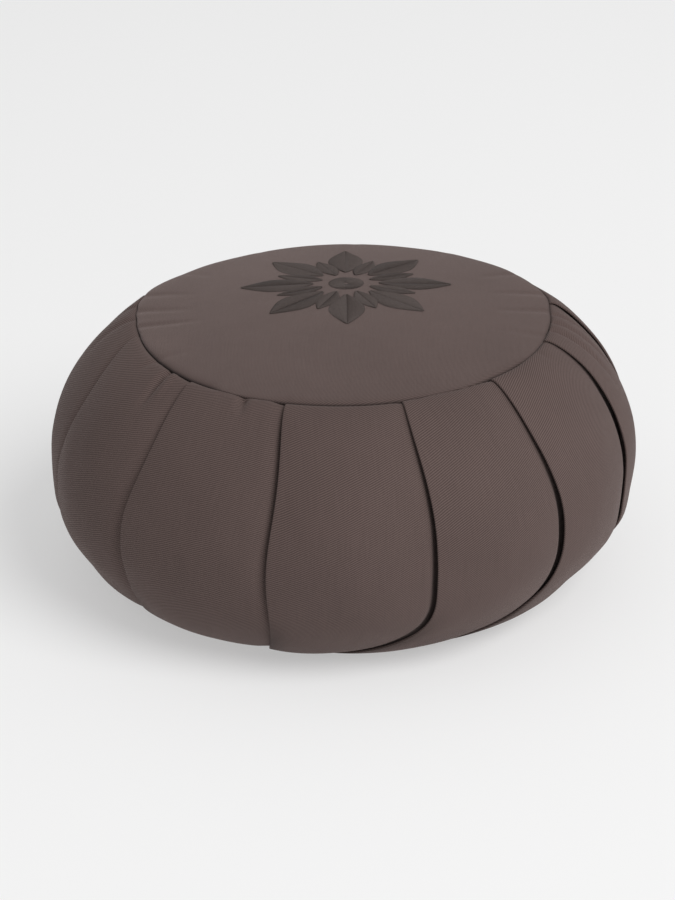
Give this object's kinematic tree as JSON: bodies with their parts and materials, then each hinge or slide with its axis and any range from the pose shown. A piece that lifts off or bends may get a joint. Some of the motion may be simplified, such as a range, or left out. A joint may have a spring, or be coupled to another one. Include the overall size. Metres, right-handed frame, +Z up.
{
  "type": "meditation cushion",
  "caption": "Round, firmly filled floor cushion for sitting, with a pleated side band drawn in to a round panel above and below.",
  "frame": {"origin": "on the floor under the middle of the cushion, in the plane of the resting face", "axes": "+Z up through the crown, -Y towards the front seen in the picture, +X to its right"},
  "size_m": [0.329, 0.3285, 0.15],
  "materials": {
    "side_cloth": "matt cotton twill",
    "panel_cloth": "matt cotton twill"
  },
  "bodies": {
    "root": {"pleated_side": "side_cloth", "top_panel": "panel_cloth", "base_panel": "panel_cloth"}
  },
  "joints": []
}
